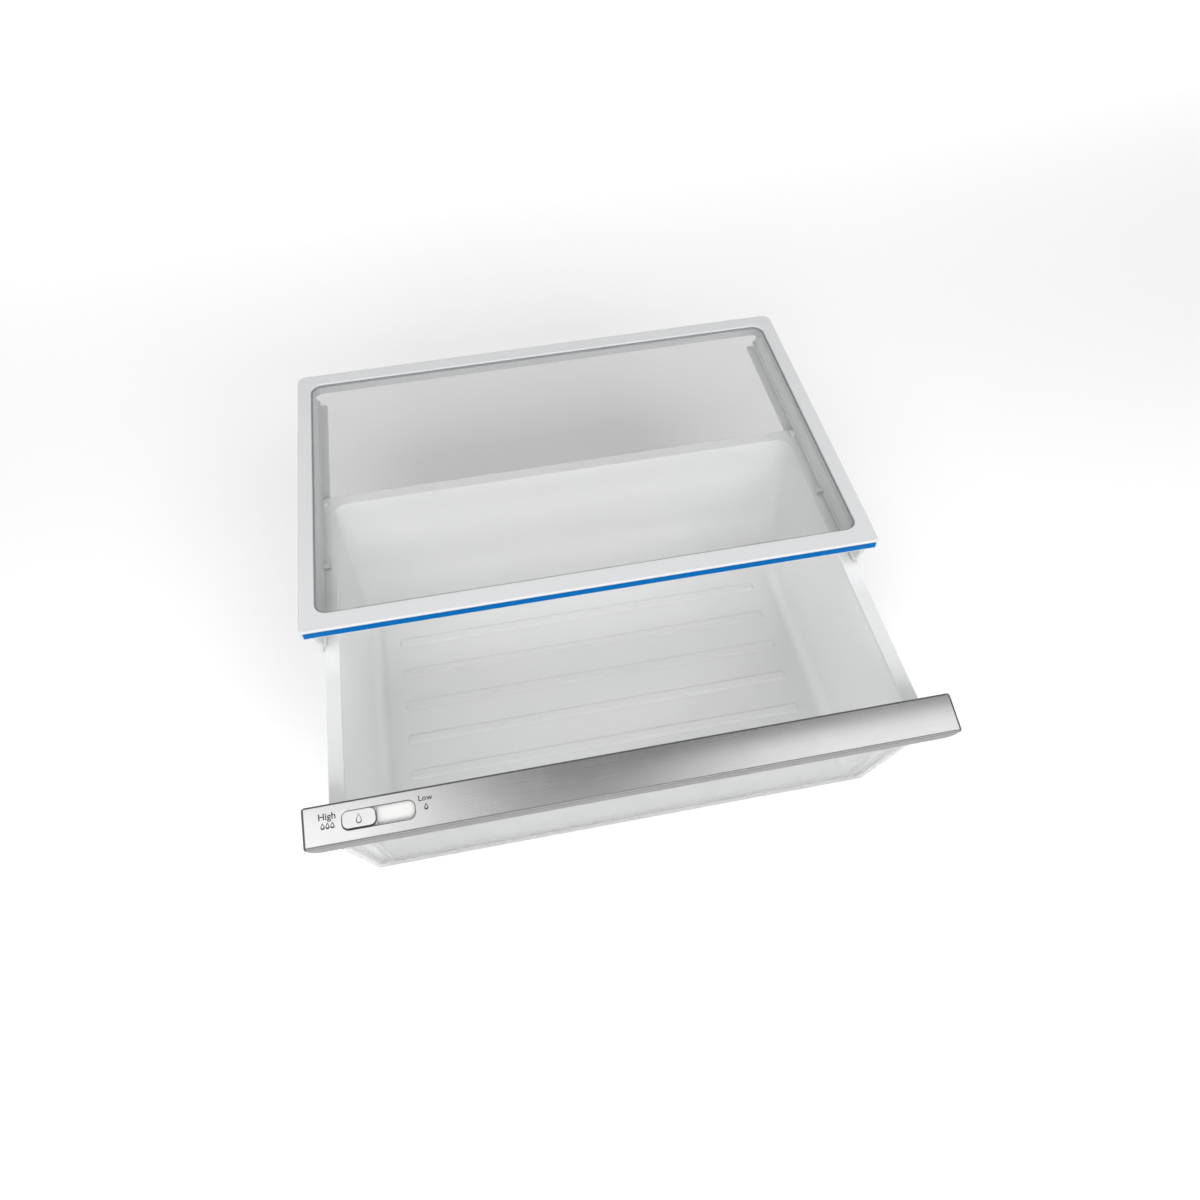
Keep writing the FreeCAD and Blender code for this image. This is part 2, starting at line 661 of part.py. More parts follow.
def make_slider_knob():
    """Knob in the slot, with a wider foot under the skin that covers the vents."""
    body = new_body("slider_knob", in_handle=True)
    left = f"({SLOT_LEFT} + knob_fit)"
    right = f"({left} + knob_length)"
    foot_under = f"({RECESS_FLOOR} + track_thickness + knob_foot_play)"
    foot = new_sketch(body, "foot", level=foot_under)
    rectangle(foot, left, right, f"{SLOT_FRONT} - recess_margin + knob_fit",
              f"{SLOT_BACK} + recess_margin - knob_fit")
    pad(body, foot, "recess_depth - track_thickness - 2 * knob_foot_play")
    grip = new_sketch(body, "grip", level=foot_under)
    rounded_rectangle(grip, left, right, f"{SLOT_FRONT} + knob_fit", f"{SLOT_BACK} - knob_fit",
                      "slot_corner - knob_fit")
    pad(body, grip, f"knob_rise - {foot_under}")
    top = value("knob_rise")
    round_edges(body, "edges", lambda edge: lies_at(edge, "Z", top), "knob_edge_round")
    return body


pieces = [
    make_shelf_frame(),
    make_shelf_glass(),
    make_glass_seal(),
    make_accent_strip(),
    make_rail("left_rail", -1),
    make_rail("right_rail", 1),
    make_drawer_pan(),
    make_handle_carrier(),
    make_handle_skin(),
    make_end_cap("left_end_cap", -1),
    make_end_cap("right_end_cap", 1),
    make_handle_screws(),
    make_slider_track(),
    make_slider_knob(),
]
doc.recompute()

for item in doc.Objects:
    if "Invalid" in item.State or "Error" in item.State:
        raise RuntimeError(f"{item.Label} did not build")
for piece in pieces:
    if piece.Shape.isNull() or not piece.Shape.isValid():
        raise RuntimeError(f"{piece.Label} has no valid shape")

os.makedirs("parts", exist_ok=True)
for piece in pieces:
    piece.Shape.exportStep(f"parts/{piece.Label}.step")
    print(piece.Label, len(piece.Shape.Solids), "solid", round(piece.Shape.Volume / 1000, 2), "cm3")
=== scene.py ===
# Crisper drawer under its framed glass shelf: finishes, printed marks, studio and camera.
import math
import bmesh
import bpy
from mathutils import Matrix, Vector


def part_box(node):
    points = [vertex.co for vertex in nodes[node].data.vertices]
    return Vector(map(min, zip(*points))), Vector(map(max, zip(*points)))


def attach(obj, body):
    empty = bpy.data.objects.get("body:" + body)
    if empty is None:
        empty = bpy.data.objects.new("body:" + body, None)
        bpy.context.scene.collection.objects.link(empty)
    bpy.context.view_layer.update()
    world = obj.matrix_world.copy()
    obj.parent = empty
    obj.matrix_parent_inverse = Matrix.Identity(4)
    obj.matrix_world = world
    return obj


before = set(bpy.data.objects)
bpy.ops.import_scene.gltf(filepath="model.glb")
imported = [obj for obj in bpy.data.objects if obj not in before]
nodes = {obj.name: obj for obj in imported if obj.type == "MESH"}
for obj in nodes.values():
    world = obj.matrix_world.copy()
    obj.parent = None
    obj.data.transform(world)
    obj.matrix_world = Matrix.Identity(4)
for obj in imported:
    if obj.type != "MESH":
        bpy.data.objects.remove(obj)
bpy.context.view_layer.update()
mm = 0.001
print("frame loaded,", len(nodes), "nodes")


def linearFromHex(code):  # sRGB hex to a linear colour
    shares = [int(code[start:start + 2], 16) / 255 for start in (1, 3, 5)]
    return tuple(c / 12.92 if c <= 0.04045 else ((c + 0.055) / 1.055) ** 2.4 for c in shares) + (1,)


def perMetre(sizeMm):  # texture scale whose cells are about this many millimetres
    return 1000 / sizeMm


def addNode(tree, kind, settings=None, numbered=None, **named):  # a socket that is given is linked, a value is set
    node = tree.nodes.new(kind)
    for name, setting in (settings or {}).items():
        setattr(node, name, setting)
    byName = {name.replace("_", " "): given for name, given in named.items()}
    for key, given in {**(numbered or {}), **byName}.items():
        socket = node.inputs[key]
        if isinstance(given, bpy.types.NodeSocket):
            tree.links.new(given, socket)
        else:
            socket.default_value = given
    return node


def newFinish(name, **shader):
    material = bpy.data.materials.new(name)
    material.use_nodes = True
    tree = material.node_tree
    tree.nodes.clear()
    surface = addNode(tree, "ShaderNodeBsdfPrincipled", **shader)
    addNode(tree, "ShaderNodeOutputMaterial", Surface=surface.outputs[0])
    return material, tree, surface


def dress(material, *names):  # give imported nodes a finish
    for name in names:
        slots = nodes[name].data.materials
        slots.clear()
        slots.append(material)


# Moulded plastics: a spark-eroded tool leaves a fine even grain, and the gloss drifts a little over the face
moulding = {"glossDrift": 0.05, "reliefMm": 0.05, "frontShadeFrom": 0.3, "frontShadeTo": 0.8, "edgeSamples": 4}


def mouldedPlastic(name, colour, shade, roughness, grainMm, grainDepth, driftMm, edgeMm, front=None, **shader):
    material, tree, surface = newFinish(name, **shader)
    place = addNode(tree, "ShaderNodeTexCoord").outputs["Object"]
    drift = addNode(tree, "ShaderNodeTexNoise", Vector=place, Scale=perMetre(driftMm), Detail=3.0)
    tint = addNode(tree, "ShaderNodeMix", {"data_type": "RGBA"},
                   {0: drift.outputs["Fac"], 6: linearFromHex(shade), 7: linearFromHex(colour)})
    if front:  # front faces are tinted greyer as painted shade, because the key light would turn them white
        normal = addNode(tree, "ShaderNodeTexCoord").outputs["Normal"]
        facing = addNode(tree, "ShaderNodeVectorMath", {"operation": "DOT_PRODUCT"}, {0: normal, 1: (0, -1, 0)})
        frontShadeMask = addNode(tree, "ShaderNodeMapRange", Value=facing.outputs["Value"],
                        From_Min=moulding["frontShadeFrom"], From_Max=moulding["frontShadeTo"])
        tint = addNode(tree, "ShaderNodeMix", {"data_type": "RGBA"},
                       {0: frontShadeMask.outputs[0], 6: tint.outputs[2], 7: linearFromHex(front)})
    tree.links.new(tint.outputs[2], surface.inputs["Base Color"])
    gloss = addNode(tree, "ShaderNodeMapRange", Value=drift.outputs["Fac"],
                    To_Min=roughness - moulding["glossDrift"], To_Max=roughness + moulding["glossDrift"])
    tree.links.new(gloss.outputs[0], surface.inputs["Roughness"])
    grain = addNode(tree, "ShaderNodeTexNoise", Vector=place, Scale=perMetre(grainMm), Detail=2.0)
    edge = addNode(tree, "ShaderNodeBevel", {"samples": moulding["edgeSamples"]}, Radius=edgeMm * mm)
    bump = addNode(tree, "ShaderNodeBump", Height=grain.outputs["Fac"], Strength=grainDepth,
                   Distance=moulding["reliefMm"] * mm, Normal=edge.outputs[0])
    tree.links.new(bump.outputs[0], surface.inputs["Normal"])
    return material


# ABS, injection moulded with a satin grain: soft wide highlights on a pale grey body, its front faces tinted greyer as
# painted shade
frameLook = {"colour": "#d3d4d5", "shade": "#cecfd0", "roughness": 0.38, "grainMm": 0.7, "grainDepth": 0.12,
             "driftMm": 60, "edgeMm": 0.5, "front": "#bcbdbe"}
dress(mouldedPlastic("satinMouldedAbs", **frameLook), "shelf_frame")

# acetal rails, moulded: white and a little waxy, their front ends tinted grey as painted shade
railLook = {"colour": "#e2e4e4", "shade": "#dbdddd", "roughness": 0.45, "grainMm": 0.8, "grainDepth": 0.1,
            "driftMm": 40, "edgeMm": 0.4, "front": "#aeafaf"}
dress(mouldedPlastic("mouldedAcetal", **railLook), "left_rail", "right_rail")

# ABS, moulded dark: it shows only as thin lines round the steel
carrierLook = {"colour": "#47484a", "shade": "#3c3d3f", "roughness": 0.42, "grainMm": 0.5, "grainDepth": 0.15,
               "driftMm": 30, "edgeMm": 0.3}
dress(mouldedPlastic("darkMouldedAbs", **carrierLook), "handle_carrier", "left_end_cap", "right_end_cap")

# PBT, moulded smooth and white: an even, slightly glossy floor to the slot
sliderLook = {"colour": "#d3d3d2", "shade": "#cdcdcc", "roughness": 0.3, "grainMm": 0.5, "grainDepth": 0.05,
              "driftMm": 15, "edgeMm": 0.25}
dress(mouldedPlastic("smoothMouldedPbt", **sliderLook), "slider_track")

# acrylic strip, extruded and dyed through: an even deep blue with little sheen
stripLook = {"colour": "#005b9b", "shade": "#005492", "roughness": 0.36, "grainMm": 1.5, "grainDepth": 0.03,
             "driftMm": 80, "edgeMm": 0.3}
dress(mouldedPlastic("extrudedBlueAcrylic", Specular_IOR_Level=0.05, **stripLook), "accent_strip")

# TPE bead, extruded: dull and grey, it reads as the dark line round the pane
sealLook = {"colour": "#888c8e", "shade": "#7c8083", "roughness": 0.6, "grainMm": 0.6, "grainDepth": 0.1,
            "driftMm": 20, "edgeMm": 0.2}
dress(mouldedPlastic("extrudedTpe", **sealLook), "glass_seal")
print("plastics done")


# the handle's tilted face, shared by the clear window, the steel's crown and the printed marks
handle = {"tilt": 15, "deckMm": 4.8, "depthMm": 28, "knobRiseMm": 2.6}
tilt = math.radians(handle["tilt"])
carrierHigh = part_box("handle_carrier")[1]
backEdge = Vector((0, carrierHigh.y - handle["deckMm"] * mm * math.sin(tilt), carrierHigh.z))
handleFace = Matrix.Translation(backEdge) @ Matrix.Rotation(tilt, 4, "X")
outOfFace = Vector((0, -math.sin(tilt), math.cos(tilt)))
acrossFace = Vector((0, math.cos(tilt), math.sin(tilt)))


# polystyrene, moulded milky: light soaks into the frosted walls,
# and the polished front shows the tub behind it, its corners and crease darkened by painted shade
def frostedPan():
    look = {"colour": "#f7f8f8", "shade": "#f3f4f4", "rim": "#e4e5e5", "driftMm": 90, "frost": 0.38, "polish": 0.12,
            "clear": 0.75, "borderClear": 0.25, "milk": 0.7, "glaze": 0.5, "soakMm": 2.0,
            "rimFromMm": 150, "rimToMm": 155, "openFromMm": -50, "openToMm": -20}
    panel = {"border": "#c6c7c7", "inside": "#c6c7c7", "corner": "#b2b3b3", "creaseShade": "#7c7d7d",
             "frontMm": 125.57, "wallMm": 2.6, "riseMm": 170.7, "footHalfMm": 206, "headHalfMm": 223.5,
             "tubHalfMm": 202, "footMm": 14, "footBlurMm": 1.5, "sideMm": 5, "sideBlurMm": 1, "cornerMm": 32,
             "creaseMm": 1.1, "creaseCoreMm": 0.4, "seamFromMm": 0.4, "seamToMm": 1.2}
    material, tree, surface = newFinish("frostedMouldedPolystyrene", Subsurface_Weight=1.0, IOR=1.58,
                                        Subsurface_Radius=(1, 1, 1), Subsurface_Scale=look["soakMm"] * mm)
    place = addNode(tree, "ShaderNodeTexCoord").outputs["Object"]
    along, back, height = addNode(tree, "ShaderNodeSeparateXYZ", Vector=place).outputs
    drift = addNode(tree, "ShaderNodeTexNoise", Vector=place, Scale=perMetre(look["driftMm"]), Detail=3.0)
    body = addNode(tree, "ShaderNodeMix", {"data_type": "RGBA"},
                   {0: drift.outputs["Fac"], 6: linearFromHex(look["shade"]), 7: linearFromHex(look["colour"])})
    atTop = addNode(tree, "ShaderNodeMapRange", Value=height, From_Min=look["rimFromMm"] * mm,
                    From_Max=look["rimToMm"] * mm)
    inOpen = addNode(tree, "ShaderNodeMapRange", Value=back, From_Min=look["openFromMm"] * mm,
                     From_Max=look["openToMm"] * mm, To_Min=1.0, To_Max=0.0)  # the rim's front part is tinted greyer as painted shade, where it lies open to the lamps
    onRimShade = addNode(tree, "ShaderNodeMath", {"operation": "MULTIPLY"}, {0: atTop.outputs[0], 1: inOpen.outputs[0]})
    rimmed = addNode(tree, "ShaderNodeMix", {"data_type": "RGBA"},
                     {0: onRimShade.outputs[0], 6: body.outputs[2], 7: linearFromHex(look["rim"])})
    # front panel: a border less clear than the window; painted shade tints both grey and darkens the tub corners and
    # the crease where the side wall meets it
    away = addNode(tree, "ShaderNodeMath", {"operation": "ABSOLUTE"}, {0: along})
    edge = addNode(tree, "ShaderNodeMapRange", Value=height, From_Max=panel["riseMm"] * mm,
                   To_Min=panel["footHalfMm"] * mm, To_Max=panel["headHalfMm"] * mm)
    fromEdge = addNode(tree, "ShaderNodeMath", {"operation": "SUBTRACT"}, {0: edge.outputs[0], 1: away.outputs[0]})
    offSide = addNode(tree, "ShaderNodeMapRange", Value=fromEdge.outputs[0],
                      From_Min=(panel["sideMm"] - panel["sideBlurMm"]) * mm,
                      From_Max=(panel["sideMm"] + panel["sideBlurMm"]) * mm)
    offFoot = addNode(tree, "ShaderNodeMapRange", Value=height,
                      From_Min=(panel["footMm"] - panel["footBlurMm"]) * mm,
                      From_Max=(panel["footMm"] + panel["footBlurMm"]) * mm)
    inside = addNode(tree, "ShaderNodeMath", {"operation": "MULTIPLY"},
                     {0: offSide.outputs[0], 1: offFoot.outputs[0]})
    fromTub = addNode(tree, "ShaderNodeMath", {"operation": "SUBTRACT"},
                      {0: panel["tubHalfMm"] * mm, 1: away.outputs[0]})
    corner = addNode(tree, "ShaderNodeMapRange", Value=fromTub.outputs[0], From_Max=panel["cornerMm"] * mm,
                     To_Min=1.0, To_Max=0.0)
    offCrease = addNode(tree, "ShaderNodeMath", {"operation": "ABSOLUTE"}, {0: fromTub.outputs[0]})
    creaseShade = addNode(tree, "ShaderNodeMapRange", Value=offCrease.outputs[0], From_Min=panel["creaseCoreMm"] * mm,
                     From_Max=panel["creaseMm"] * mm, To_Min=1.0, To_Max=0.0)
    cornerShaded = addNode(tree, "ShaderNodeMix", {"data_type": "RGBA"},
                     {0: corner.outputs[0], 6: linearFromHex(panel["inside"]), 7: linearFromHex(panel["corner"])})
    creaseShaded = addNode(tree, "ShaderNodeMix", {"data_type": "RGBA"},
                      {0: creaseShade.outputs[0], 6: cornerShaded.outputs[2], 7: linearFromHex(panel["creaseShade"])})
    bordered = addNode(tree, "ShaderNodeMix", {"data_type": "RGBA"},
                       {0: inside.outputs[0], 6: linearFromHex(panel["border"]), 7: creaseShaded.outputs[2]})
    inward = addNode(tree, "ShaderNodeVectorMath", {"operation": "DOT_PRODUCT"}, {0: place, 1: acrossFace})
    wallBackMm = panel["wallMm"] - panel["frontMm"]
    onFront = addNode(tree, "ShaderNodeMapRange", Value=inward.outputs["Value"],
                      From_Min=(wallBackMm + panel["seamFromMm"]) * mm,
                      From_Max=(wallBackMm + panel["seamToMm"]) * mm, To_Min=1.0, To_Max=0.0)
    tint = addNode(tree, "ShaderNodeMix", {"data_type": "RGBA"},
                   {0: onFront.outputs[0], 6: rimmed.outputs[2], 7: bordered.outputs[2]})
    tree.links.new(tint.outputs[2], surface.inputs["Base Color"])
    clarity = addNode(tree, "ShaderNodeMapRange", Value=inside.outputs[0], To_Min=look["borderClear"],
                      To_Max=look["clear"])
    window = addNode(tree, "ShaderNodeMath", {"operation": "MULTIPLY"},
                     {0: onFront.outputs[0], 1: clarity.outputs[0]})
    tree.links.new(window.outputs[0], surface.inputs["Transmission Weight"])
    cover = addNode(tree, "ShaderNodeMapRange", Value=window.outputs[0], From_Max=look["clear"], To_Min=look["milk"],
                    To_Max=look["glaze"])  # what each face of a wall hides of the things behind it
    tree.links.new(cover.outputs[0], surface.inputs["Alpha"])
    gloss = addNode(tree, "ShaderNodeMapRange", Value=onFront.outputs[0], To_Min=look["frost"],
                    To_Max=look["polish"])
    tree.links.new(gloss.outputs[0], surface.inputs["Roughness"])
    return material


dress(frostedPan(), "drawer_pan")


# PBT, moulded white: the side walls are tinted dark grey as painted shade, so the knob reads outlined
def knobWithPaintedSideShade():
    look = {"cap": "#c3c3c3", "sideShade": "#2e3033", "capFrom": 0.7, "capTo": 0.95, "roughness": 0.32,
            "grainMm": 0.5, "grainDepth": 0.05, "reliefMm": 0.05}
    material, tree, surface = newFinish("mouldedPbtWithPaintedSideShade", Roughness=look["roughness"])
    space = addNode(tree, "ShaderNodeTexCoord").outputs
    facing = addNode(tree, "ShaderNodeVectorMath", {"operation": "DOT_PRODUCT"}, {0: space["Normal"], 1: outOfFace})
    cap = addNode(tree, "ShaderNodeMapRange", Value=facing.outputs["Value"], From_Min=look["capFrom"],
                  From_Max=look["capTo"])
    tint = addNode(tree, "ShaderNodeMix", {"data_type": "RGBA"},
                   {0: cap.outputs[0], 6: linearFromHex(look["sideShade"]), 7: linearFromHex(look["cap"])})
    tree.links.new(tint.outputs[2], surface.inputs["Base Color"])
    grain = addNode(tree, "ShaderNodeTexNoise", Vector=space["Object"], Scale=perMetre(look["grainMm"]))
    bump = addNode(tree, "ShaderNodeBump", Height=grain.outputs["Fac"], Strength=look["grainDepth"],
                   Distance=look["reliefMm"] * mm)
    tree.links.new(bump.outputs[0], surface.inputs["Normal"])
    return material


dress(knobWithPaintedSideShade(), "slider_knob")


# soda-lime glass, tempered flat: clean reflections, with its tint kept to the photograph's neutral grey
def temperedGlass():
    look = {"colour": "#e8e8e8", "waveMm": 120, "haze": 0.03, "stops": 0.1}
    material, tree, surface = newFinish("temperedSodaLimeGlass", Base_Color=linearFromHex(look["colour"]),
                                        Transmission_Weight=1.0, IOR=1.52)
    place = addNode(tree, "ShaderNodeTexCoord").outputs["Object"]
    wave = addNode(tree, "ShaderNodeTexNoise", Vector=place, Scale=perMetre(look["waveMm"]))
    haze = addNode(tree, "ShaderNodeMapRange", Value=wave.outputs["Fac"], To_Min=0.0, To_Max=look["haze"])
    tree.links.new(haze.outputs[0], surface.inputs["Roughness"])
    ray = addNode(tree, "ShaderNodeLightPath").outputs  # studio light passes as through a window, without caustics
    passing = addNode(tree, "ShaderNodeMath", {"operation": "MAXIMUM"},
                      {0: ray["Is Shadow Ray"], 1: ray["Is Diffuse Ray"]})
    kept = addNode(tree, "ShaderNodeMapRange", Value=passing.outputs[0], To_Min=1.0, To_Max=look["stops"])
    tree.links.new(kept.outputs[0], surface.inputs["Alpha"])
    return material


dress(temperedGlass(), "shelf_glass")


# stainless steel, brushed along its length: long scratches blur the highlights, and a crown in the bump grades them
# the scratches are drawn coarser than real ones, which are too fine to show
def brushedStainless():
    look = {"colour": "#bcbcbc", "lip": "#6c6c6c", "lipShadeFrom": 0.3, "lipShadeTo": 0.9, "roughness": 0.26,
            "roughDrift": 0.03, "scratchMm": 0.5, "scratchLengthMm": 60, "scratchDepth": 0.02,
            "scratchReliefMm": 0.02, "cloudMm": 25, "dullFrom": 0.6, "dullTo": 1.4, "crown": 3.5}
    material, tree, surface = newFinish("brushedStainlessSteel", Metallic=1.0)
    space = addNode(tree, "ShaderNodeTexCoord").outputs
    place = space["Object"]
    across = perMetre(look["scratchMm"])
    along = perMetre(look["scratchLengthMm"])
    stretched = addNode(tree, "ShaderNodeMapping", Vector=place, Scale=(along, across, across))
    scratch = addNode(tree, "ShaderNodeTexNoise", Vector=stretched.outputs[0], Scale=1.0, Detail=4.0)
    cloud = addNode(tree, "ShaderNodeTexNoise", Vector=place, Scale=perMetre(look["cloudMm"]), Detail=2.0)
    blend = addNode(tree, "ShaderNodeMath", {"operation": "ADD"}, {0: scratch.outputs["Fac"], 1: cloud.outputs["Fac"]})
    dull = addNode(tree, "ShaderNodeMapRange", Value=blend.outputs[0], From_Min=look["dullFrom"],
                   From_Max=look["dullTo"], To_Min=look["roughness"] - look["roughDrift"],
                   To_Max=look["roughness"] + look["roughDrift"])
    tree.links.new(dull.outputs[0], surface.inputs["Roughness"])
    inward = addNode(tree, "ShaderNodeVectorMath", {"operation": "DOT_PRODUCT"}, {0: place, 1: acrossFace})
    middle = backEdge.dot(acrossFace) - handle["depthMm"] * mm / 2
    centred = addNode(tree, "ShaderNodeMath", {"operation": "SUBTRACT"}, {0: inward.outputs["Value"], 1: middle})
    dip = addNode(tree, "ShaderNodeMath", {"operation": "MULTIPLY"}, {0: centred.outputs[0], 1: centred.outputs[0]})
    crown = addNode(tree, "ShaderNodeBump", {"invert": True}, Height=dip.outputs[0], Strength=1.0,
                    Distance=look["crown"])
    bump = addNode(tree, "ShaderNodeBump", Height=scratch.outputs["Fac"], Strength=look["scratchDepth"],
                   Distance=look["scratchReliefMm"] * mm, Normal=crown.outputs[0])
    tree.links.new(bump.outputs[0], surface.inputs["Normal"])
    # the folded-down lip, facing forward and down, is tinted dark grey as painted shade
    facing = addNode(tree, "ShaderNodeVectorMath", {"operation": "DOT_PRODUCT"}, {0: space["Normal"], 1: outOfFace})
    lipShadeMask = addNode(tree, "ShaderNodeMapRange", Value=facing.outputs["Value"], From_Min=look["lipShadeFrom"],
                   From_Max=look["lipShadeTo"])
    tint = addNode(tree, "ShaderNodeMix", {"data_type": "RGBA"},
                   {0: lipShadeMask.outputs[0], 6: linearFromHex(look["lip"]), 7: linearFromHex(look["colour"])})
    tree.links.new(tint.outputs[2], surface.inputs["Base Color"])
    return material


dress(brushedStainless(), "handle_skin")


# carbon steel screws, zinc plated: a cool grey whose gloss breaks up in small spangles
def zincPlate():
    look = {"colour": "#b4b8bc", "spangleMm": 0.6, "brightest": 0.25, "dullest": 0.45}
    material, tree, surface = newFinish("zincPlatedSteel", Base_Color=linearFromHex(look["colour"]), Metallic=1.0)
    place = addNode(tree, "ShaderNodeTexCoord").outputs["Object"]
    spangle = addNode(tree, "ShaderNodeTexNoise", Vector=place, Scale=perMetre(look["spangleMm"]))
    dull = addNode(tree, "ShaderNodeMapRange", Value=spangle.outputs["Fac"], To_Min=look["brightest"],
                   To_Max=look["dullest"])
    tree.links.new(dull.outputs[0], surface.inputs["Roughness"])
    return material


dress(zincPlate(), "handle_screws")


# UV-cured ink, pad printed: dense, flat and dark grey, thinner where the pad lifted
def padPrintInk():
    look = {"colour": "#26272a", "thin": "#333437", "patchMm": 1.2, "roughness": 0.55}
    material, tree, surface = newFinish("padPrintedInk", Roughness=look["roughness"])
    place = addNode(tree, "ShaderNodeTexCoord").outputs["Object"]
    patch = addNode(tree, "ShaderNodeTexNoise", Vector=place, Scale=perMetre(look["patchMm"]))
    tint = addNode(tree, "ShaderNodeMix", {"data_type": "RGBA"},
                   {0: patch.outputs["Fac"], 6: linearFromHex(look["colour"]), 7: linearFromHex(look["thin"])})
    tree.links.new(tint.outputs[2], surface.inputs["Base Color"])
    return material


ink = padPrintInk()
print("glass, steel and ink done")

# printed marks lie in the handle's face: x along the handle, y across it from its upper back edge, z out of it
knobLow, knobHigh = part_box("slider_knob")
droplet = {"tipPower": 1.6, "bulge": 0.62, "lineRise": 2.6}
lettering = {"extrude": 0.5, "bolder": 0.015, "resolution": 3, "weld": 1e-7}
inkFilm = 0.03 * mm


def addPiece(name, mesh, body, material):
    mesh.materials.clear()
    mesh.materials.append(material)
    piece = bpy.data.objects.new(name, mesh)
    bpy.context.scene.collection.objects.link(piece)
    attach(piece, body)


def ringMesh(name, outer, inner, thickness):  # flat closed band between two loops of as many points
    form = bmesh.new()
    count = len(outer)
    rows = [[form.verts.new((x, y, level)) for x, y in loop]
            for level in (0, thickness) for loop in (outer, inner)]
    lowOuter, lowInner, topOuter, topInner = rows
    for here in range(count):
        there = (here + 1) % count
        for a, b in ((topOuter, topInner), (lowInner, lowOuter), (lowOuter, topOuter), (topInner, lowInner)):
            form.faces.new((a[here], a[there], b[there], b[here]))
    bmesh.ops.recalc_face_normals(form, faces=form.faces)
    mesh = bpy.data.meshes.new(name)
    form.to_mesh(mesh)
    form.free()
    return mesh


def dropletLoop(width, height, steps=40):  # teardrop with its tip up
    loop = []
    for step in range(steps):
        turn = 2 * math.pi * (step + 0.5) / steps
        fullness = abs(math.sin(turn / 2)) ** droplet["tipPower"]
        loop.append((width * droplet["bulge"] * math.sin(turn) * fullness, height / 2 * math.cos(turn)))
    return loop


def roundedLoop(left, right, low, high, radius, steps=8):
    loop = []
    corners = ((right - radius, low + radius, -90), (right - radius, high - radius, 0),
               (left + radius, high - radius, 90), (left + radius, low + radius, 180))
    for x, y, start in corners:
        for step in range(steps + 1):
            turn = math.radians(start + 90 * step / steps)
            loop.append((x + radius * math.cos(turn), y + radius * math.sin(turn)))
    return loop


def addDroplet(name, along, across, width, height, line, body="drawer", rise=0.0):
    outer = dropletLoop(width, height)
    inner = dropletLoop(width - 2 * line, height - droplet["lineRise"] * line)
    mesh = ringMesh(name, outer, inner, inkFilm)
    mesh.transform(handleFace @ Matrix.Translation((along, across, rise)))
    addPiece(name, mesh, body, ink)


def addWord(name, text, along, across, width):
    curve = bpy.data.curves.new(name, "FONT")
    curve.body = text
    curve.align_x = "CENTER"
    curve.align_y = "CENTER"
    curve.extrude = lettering["extrude"]
    curve.offset = lettering["bolder"]
    curve.resolution_u = lettering["resolution"]
    source = bpy.data.objects.new(name + "Source", curve)
    bpy.context.scene.collection.objects.link(source)
    bpy.context.view_layer.update()
    mesh = bpy.data.meshes.new_from_object(source.evaluated_get(bpy.context.evaluated_depsgraph_get()))
    bpy.data.objects.remove(source)
    spread = [vertex.co.x for vertex in mesh.vertices]
    scale = width / (max(spread) - min(spread))
    middle = (max(spread) + min(spread)) / 2
    mesh.transform(Matrix.Translation((-middle, 0, 0)))
    mesh.transform(Matrix.Diagonal((scale, scale, inkFilm, 1)))
    mesh.transform(handleFace @ Matrix.Translation((along, across, inkFilm / 2)))
    form = bmesh.new()
    form.from_mesh(mesh)
    bmesh.ops.remove_doubles(form, verts=form.verts, dist=lettering["weld"])
    form.to_mesh(mesh)
    form.free()
    mesh.name = name
    addPiece(name, mesh, "drawer", ink)


# humidity marks: a full row of drops at one end of the slot, a single drop at the other
marks = {"highAlong": -209.4, "highWord": -8.3, "highDrops": -14.2, "highWidth": 11.2, "dropGap": 3.2,
         "lowAlong": -144.6, "lowWord": -7.4, "lowDrop": -13.0, "lowWidth": 9.2,
         "dropWidth": 3.2, "dropHeight": 4.6, "dropLine": 0.8,
         "knobDropWidth": 4.3, "knobDropHeight": 7.0, "knobDropLine": 0.6}
addWord("highWord", "High", marks["highAlong"] * mm, marks["highWord"] * mm, marks["highWidth"] * mm)
addWord("lowWord", "Low", marks["lowAlong"] * mm, marks["lowWord"] * mm, marks["lowWidth"] * mm)
smallDrop = [marks[key] * mm for key in ("dropWidth", "dropHeight", "dropLine")]
for step in (-1, 0, 1):
    along = (marks["highAlong"] + step * marks["dropGap"]) * mm
    addDroplet(f"highDrop{step + 2}", along, marks["highDrops"] * mm, *smallDrop)
addDroplet("lowDrop", marks["lowAlong"] * mm, marks["lowDrop"] * mm, *smallDrop)

slot = {"fitMm": 0.3, "lengthMm": 48, "widthMm": 12.6, "setbackMm": 13.4, "cornerMm": 4.5, "lineMm": 0.4}
knobMiddle = (knobLow.x + knobHigh.x) / 2
bigDrop = [marks[key] * mm for key in ("knobDropWidth", "knobDropHeight", "knobDropLine")]
addDroplet("knobDrop", knobMiddle, -slot["setbackMm"] * mm, *bigDrop, body="slider",
           rise=handle["knobRiseMm"] * mm)

slotLeft = knobLow.x - slot["fitMm"] * mm
slotRight = slotLeft + slot["lengthMm"] * mm
slotLow = (-slot["setbackMm"] - slot["widthMm"] / 2) * mm
slotHigh = slotLow + slot["widthMm"] * mm
line = slot["lineMm"] * mm
corner = slot["cornerMm"] * mm
# a thin dark ring in the ink round the slot stands as painted shade for the gap at its edge
slotShadeRing = ringMesh("slotShadeLine", roundedLoop(slotLeft - line, slotRight + line, slotLow - line, slotHigh + line,
                                              corner + line),
                   roundedLoop(slotLeft, slotRight, slotLow, slotHigh, corner), inkFilm)
slotShadeRing.transform(handleFace)
addPiece("slotShadeLine", slotShadeRing, "drawer", ink)
print("marks printed")

